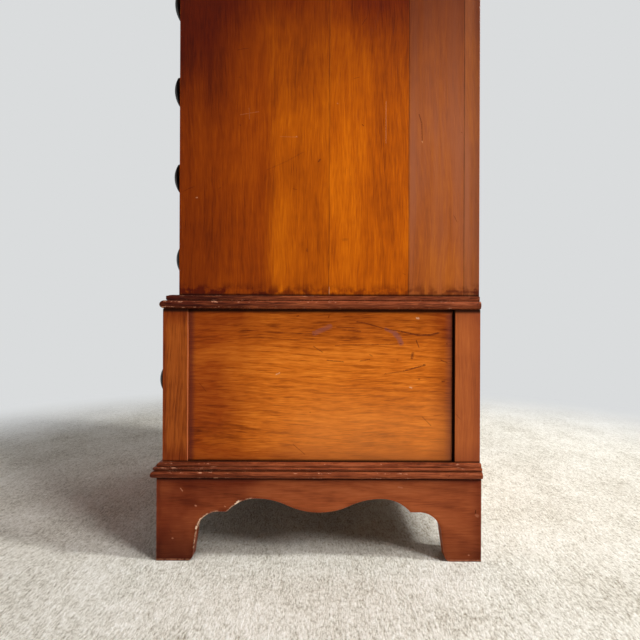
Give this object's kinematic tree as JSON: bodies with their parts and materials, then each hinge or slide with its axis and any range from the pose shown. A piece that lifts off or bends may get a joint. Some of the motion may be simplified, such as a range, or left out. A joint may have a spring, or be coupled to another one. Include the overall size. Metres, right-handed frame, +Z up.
{
  "type": "chest of drawers",
  "caption": "Tall chest on chest of stained wood on a scalloped bracket base, with drawers and round black knobs.",
  "frame": {"origin": "on the floor, under the middle of the whole piece with its knobs and mouldings", "axes": "+Z up, front towards -Y, +X to the right of someone facing the front"},
  "size_m": [0.64, 0.543, 1.219],
  "materials": {
    "case_wood": "stained and varnished, satin",
    "top_wood": "stained and varnished, satin",
    "panel_wood": "stained and varnished, satin",
    "frame_wood": "stained and varnished, satin",
    "moulding_wood": "dark stain, satin, worn edges",
    "base_wood": "reddish stain, satin, worn edges",
    "drawer_front_wood": "stained and varnished, satin",
    "drawer_wood": "bare, planed",
    "inner_wood": "bare, planed",
    "plywood": "bare",
    "knob_black": "black paint, semi-gloss"
  },
  "bodies": {
    "case": {"bracket_base_front": "base_wood", "bracket_base_right": "base_wood", "bracket_base_left": "base_wood", "bracket_base_back": "inner_wood", "base_glue_blocks": "inner_wood", "base_moulding": "moulding_wood", "lower_front_stiles": "frame_wood", "lower_rear_stiles": "frame_wood", "lower_side_rails": "frame_wood", "lower_side_panel_right": "panel_wood", "lower_side_panel_left": "panel_wood", "lower_bottom_board": "inner_wood", "lower_top_board": "inner_wood", "lower_back_panel": "plywood", "lower_front_rails": "frame_wood", "lower_runners": "inner_wood", "waist_moulding": "moulding_wood", "upper_side_right": "case_wood", "upper_side_left": "case_wood", "upper_bottom_board": "inner_wood", "upper_front_rails": "frame_wood", "upper_runners": "inner_wood", "upper_back_panel": "plywood", "upper_top_board": "top_wood", "cornice_moulding": "moulding_wood", "drawer_stops": "inner_wood"},
    "drawer_1": {"drawer_1_front": "drawer_front_wood", "drawer_1_sides": "drawer_wood", "drawer_1_back": "drawer_wood", "drawer_1_bottom": "plywood", "drawer_1_knobs": "knob_black"},
    "drawer_2": {"drawer_2_front": "drawer_front_wood", "drawer_2_sides": "drawer_wood", "drawer_2_back": "drawer_wood", "drawer_2_bottom": "plywood", "drawer_2_knobs": "knob_black"},
    "drawer_3": {"drawer_3_front": "drawer_front_wood", "drawer_3_sides": "drawer_wood", "drawer_3_back": "drawer_wood", "drawer_3_bottom": "plywood", "drawer_3_knobs": "knob_black"},
    "drawer_4": {"drawer_4_front": "drawer_front_wood", "drawer_4_sides": "drawer_wood", "drawer_4_back": "drawer_wood", "drawer_4_bottom": "plywood", "drawer_4_knobs": "knob_black"},
    "drawer_5": {"drawer_5_front": "drawer_front_wood", "drawer_5_sides": "drawer_wood", "drawer_5_back": "drawer_wood", "drawer_5_bottom": "plywood", "drawer_5_knobs": "knob_black"},
    "drawer_6": {"drawer_6_front": "drawer_front_wood", "drawer_6_sides": "drawer_wood", "drawer_6_back": "drawer_wood", "drawer_6_bottom": "plywood", "drawer_6_knobs": "knob_black"}
  },
  "joints": [
    {"name": "drawer_1_slide", "type": "slide", "parent": "case", "child": "drawer_1", "axis": [0, -1, 0], "range_m": [0, 0.34]},
    {"name": "drawer_2_slide", "type": "slide", "parent": "case", "child": "drawer_2", "axis": [0, -1, 0], "range_m": [0, 0.34]},
    {"name": "drawer_3_slide", "type": "slide", "parent": "case", "child": "drawer_3", "axis": [0, -1, 0], "range_m": [0, 0.34]},
    {"name": "drawer_4_slide", "type": "slide", "parent": "case", "child": "drawer_4", "axis": [0, -1, 0], "range_m": [0, 0.34]},
    {"name": "drawer_5_slide", "type": "slide", "parent": "case", "child": "drawer_5", "axis": [0, -1, 0], "range_m": [0, 0.34]},
    {"name": "drawer_6_slide", "type": "slide", "parent": "case", "child": "drawer_6", "axis": [0, -1, 0], "range_m": [0, 0.36]}
  ]
}
